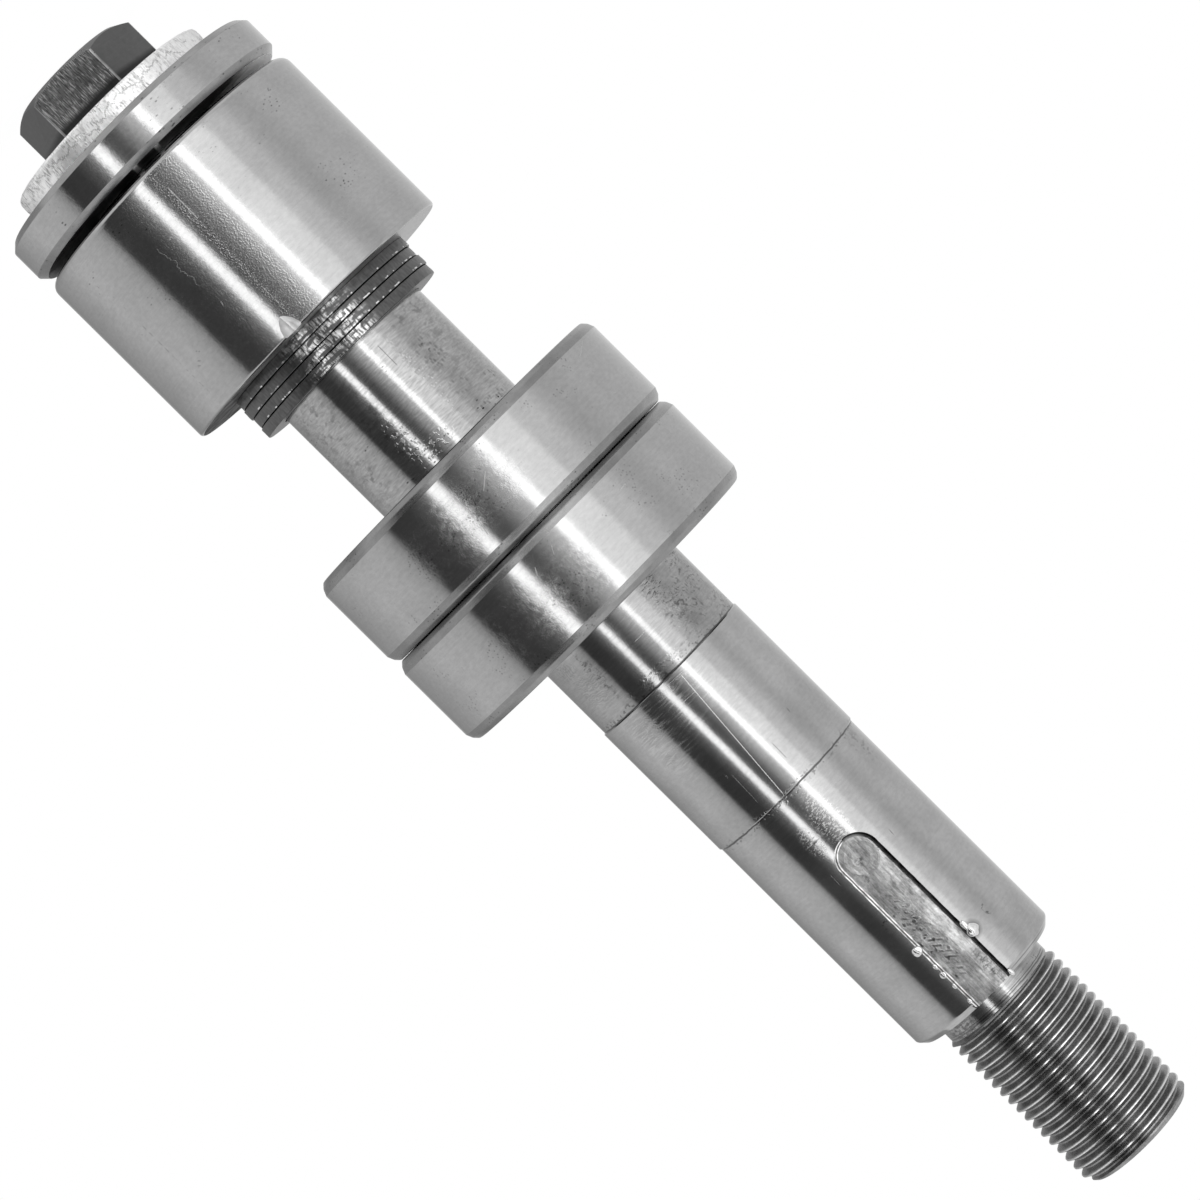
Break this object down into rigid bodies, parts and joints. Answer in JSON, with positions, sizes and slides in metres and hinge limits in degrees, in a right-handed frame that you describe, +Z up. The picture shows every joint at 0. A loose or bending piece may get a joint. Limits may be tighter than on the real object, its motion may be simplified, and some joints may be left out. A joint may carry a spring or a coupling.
{
  "type": "stepped shaft assembly with ball bearings",
  "caption": "Keyed stepped drive shaft with a threaded end, carried in ball bearings and fitted with a sleeve, collar, shim washers and an end bolt.",
  "frame": {"origin": "on the shaft's axis, midway between the two bearings", "axes": "+Z up the shaft, from the bolt head that it stands on to its threaded end; -Y is the front, where the keyway opens"},
  "size_m": [0.052, 0.052, 0.2065],
  "materials": {
    "shaft_steel": "ground, with machining marks",
    "ground_steel": "ground",
    "bearing_steel": "fine ground",
    "washer_steel": "rough cut, bright",
    "shim_steel": "punched, dull",
    "bolt_black": "black oxide, worn",
    "seal_rubber": "moulded, satin",
    "cage_polyamide": "moulded"
  },
  "bodies": {
    "shaft": {"shaft": "shaft_steel", "end_bolt": "bolt_black", "end_washer": "washer_steel", "end_collar": "ground_steel", "sleeve": "ground_steel", "shim_washer_1": "shim_steel", "shim_washer_2": "shim_steel", "shim_washer_3": "shim_steel", "shim_washer_4": "shim_steel", "inner_ring_1": "bearing_steel", "inner_ring_2": "bearing_steel"},
    "outer_race_1": {"outer_ring_1": "bearing_steel", "seal_1_lower": "seal_rubber", "seal_1_upper": "seal_rubber"},
    "ball_set_1": {"balls_1": "bearing_steel", "cage_1": "cage_polyamide"},
    "outer_race_2": {"outer_ring_2": "bearing_steel", "seal_2_lower": "seal_rubber", "seal_2_upper": "seal_rubber"},
    "ball_set_2": {"balls_2": "bearing_steel", "cage_2": "cage_polyamide"}
  },
  "joints": [
    {"name": "bearing_1_turn", "type": "hinge", "parent": "shaft", "child": "outer_race_1", "pos_m": [0, 0, -0.00755], "axis": [0, 0, 1], "continuous": true},
    {"name": "ball_set_1_turn", "type": "hinge", "parent": "shaft", "child": "ball_set_1", "pos_m": [0, 0, -0.00755], "axis": [0, 0, 1], "continuous": true},
    {"name": "bearing_2_turn", "type": "hinge", "parent": "shaft", "child": "outer_race_2", "pos_m": [0, 0, 0.00755], "axis": [0, 0, 1], "continuous": true},
    {"name": "ball_set_2_turn", "type": "hinge", "parent": "shaft", "child": "ball_set_2", "pos_m": [0, 0, 0.00755], "axis": [0, 0, 1], "continuous": true}
  ],
  "couplings": [
    {"joint": "ball_set_1_turn", "follows": "bearing_1_turn", "ratio": 0.60183},
    {"joint": "ball_set_2_turn", "follows": "bearing_2_turn", "ratio": 0.60183}
  ]
}
